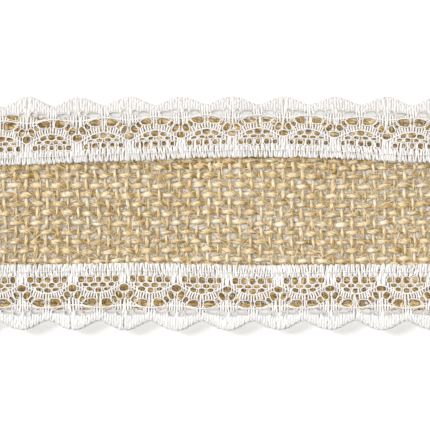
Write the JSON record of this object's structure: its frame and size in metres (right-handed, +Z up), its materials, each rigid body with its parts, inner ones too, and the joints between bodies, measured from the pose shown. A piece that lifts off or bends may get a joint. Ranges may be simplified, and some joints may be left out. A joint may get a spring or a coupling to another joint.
{
  "type": "table runner",
  "caption": "Narrow open-weave burlap table runner with white scalloped lace sewn along both long edges, laid flat.",
  "frame": {"origin": "middle of the runner's underside, on the surface that it lies on", "axes": "+X along the runner's length, +Y across it towards the back trim, +Z up out of the surface"},
  "size_m": [0.9144, 0.06, 0.0032],
  "materials": {
    "burlap": "natural undyed jute, open plain weave, hairy and matte",
    "lace": "white machine lace of matte thread with open holes",
    "sewing_thread": "white spun sewing thread, slight sheen"
  },
  "bodies": {
    "root": {"burlap_band": "burlap", "lace_trim_front": "lace", "lace_trim_back": "lace", "needle_thread_front": "sewing_thread", "needle_thread_back": "sewing_thread", "bobbin_thread_front": "sewing_thread", "bobbin_thread_back": "sewing_thread"}
  },
  "joints": []
}
